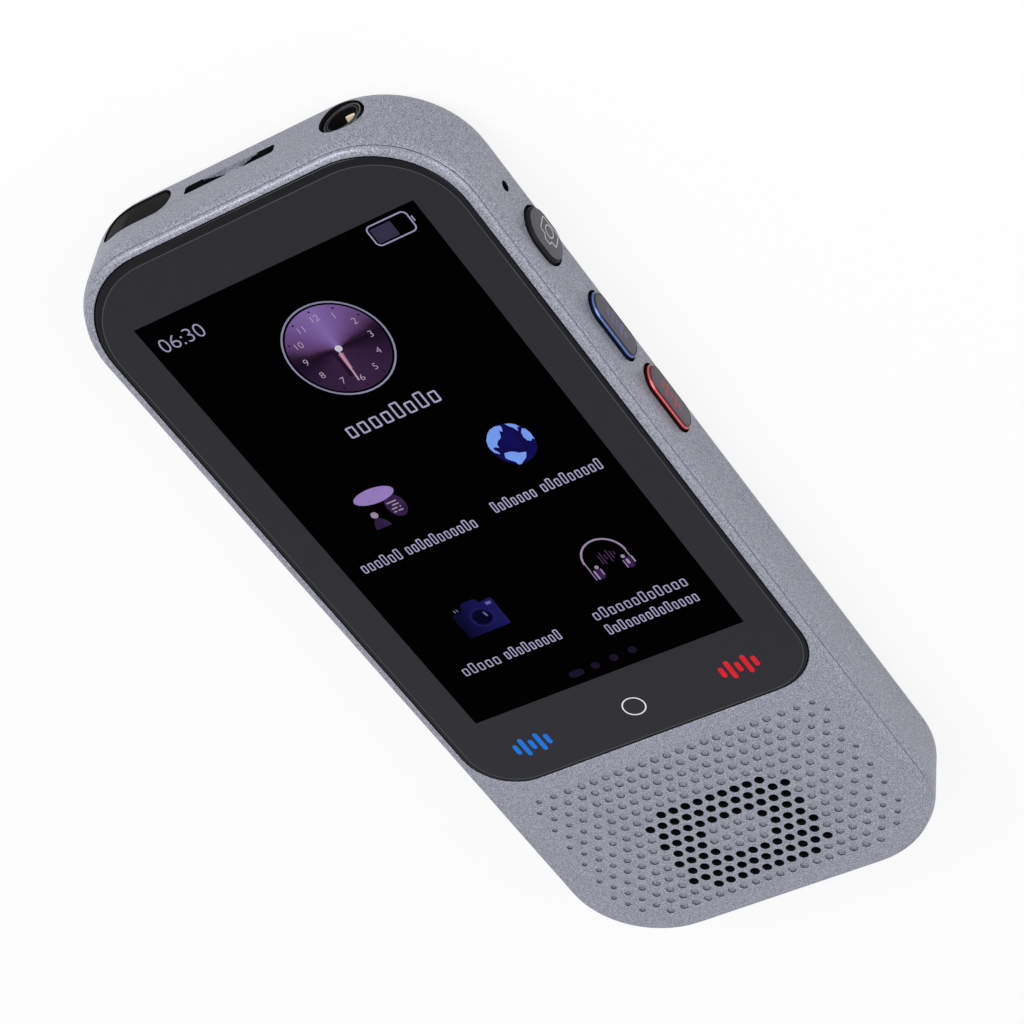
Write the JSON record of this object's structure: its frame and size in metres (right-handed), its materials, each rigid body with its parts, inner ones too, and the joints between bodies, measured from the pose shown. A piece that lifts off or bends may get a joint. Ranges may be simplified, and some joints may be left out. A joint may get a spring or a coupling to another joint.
{
  "type": "handheld voice translator",
  "caption": "Slim handheld voice translator: glass-fronted case with a hexagonal speaker grille, spring-loaded side keys, a power key, headphone socket and lanyard slot.",
  "frame": {"origin": "middle of the footprint, on the back face that the device lies on", "axes": "+X to the right-hand side with the keys, +Y to the end with the headphone socket, +Z out of the front glass"},
  "size_m": [0.0516, 0.123, 0.0112],
  "materials": {
    "housing_silver": "fine metallic, semi-matt",
    "cover_glass": "polished",
    "display_black": "gloss",
    "adhesive_black": "matt",
    "backlight_metal": "satin",
    "chassis_plastic": "matt",
    "screw_steel": "satin",
    "board_green": "satin solder mask",
    "can_steel": "satin",
    "flex_amber": "satin",
    "flex_black": "matt",
    "battery_foil": "matt foil",
    "tape_white": "matt",
    "wire_red": "satin",
    "speaker_black": "matt",
    "foam_black": "matt foam",
    "mesh_black": "woven",
    "socket_steel": "satin",
    "mic_can": "satin",
    "jack_grey": "satin",
    "contact_gold": "polished",
    "switch_steel": "satin",
    "bracket_steel": "satin",
    "camera_black": "gloss",
    "ring_grey": "anodised",
    "window_glass": "polished",
    "flash_clear": "frosted",
    "led_yellow": "satin",
    "rim_blue": "bright anodised",
    "rim_red": "bright anodised",
    "key_grey": "satin",
    "key_black": "gloss"
  },
  "bodies": {
    "case": {"back_cover": "housing_silver", "front_cover": "housing_silver", "cover_glass": "cover_glass", "glass_adhesive": "adhesive_black", "display_panel": "display_black", "backlight": "backlight_metal", "chassis": "chassis_plastic", "chassis_screws": "screw_steel", "main_board": "board_green", "board_screws": "screw_steel", "shield_cans": "can_steel", "power_switch": "switch_steel", "antenna_flex": "flex_black", "display_flex": "flex_amber", "battery": "battery_foil", "battery_tape": "tape_white", "battery_lead": "wire_red", "speaker_driver": "speaker_black", "speaker_gasket": "foam_black", "speaker_mesh": "mesh_black", "bottom_board": "board_green", "bottom_screws": "screw_steel", "usb_c_socket": "socket_steel", "bottom_microphone": "mic_can", "board_flex": "flex_amber", "headphone_jack": "jack_grey", "jack_contacts": "contact_gold", "key_bracket": "bracket_steel", "key_flex": "flex_amber", "key_switches": "switch_steel", "side_microphone": "mic_can", "microphone_gasket": "foam_black", "camera_module": "camera_black", "camera_ring": "ring_grey", "camera_window": "window_glass", "flash_lens": "flash_clear", "flash_led": "led_yellow"},
    "blue_key": {"blue_key_rim": "rim_blue", "blue_key_cap": "key_grey"},
    "red_key": {"red_key_rim": "rim_red", "red_key_cap": "key_grey"},
    "camera_shutter_key": {"camera_key": "key_grey"},
    "power_button": {"power_key": "key_black"}
  },
  "joints": [
    {"name": "blue_key_press", "type": "slide", "parent": "case", "child": "blue_key", "axis": [-1, 0, 0], "range_m": [0, 0.0003], "stiffness_N_per_m": 3000},
    {"name": "red_key_press", "type": "slide", "parent": "case", "child": "red_key", "axis": [-1, 0, 0], "range_m": [0, 0.0003], "stiffness_N_per_m": 3000},
    {"name": "camera_key_press", "type": "slide", "parent": "case", "child": "camera_shutter_key", "axis": [-1, 0, 0], "range_m": [0, 0.0003], "stiffness_N_per_m": 3000},
    {"name": "power_key_press", "type": "slide", "parent": "case", "child": "power_button", "axis": [0, -1, 0], "range_m": [0, 0.0003], "stiffness_N_per_m": 3000}
  ]
}
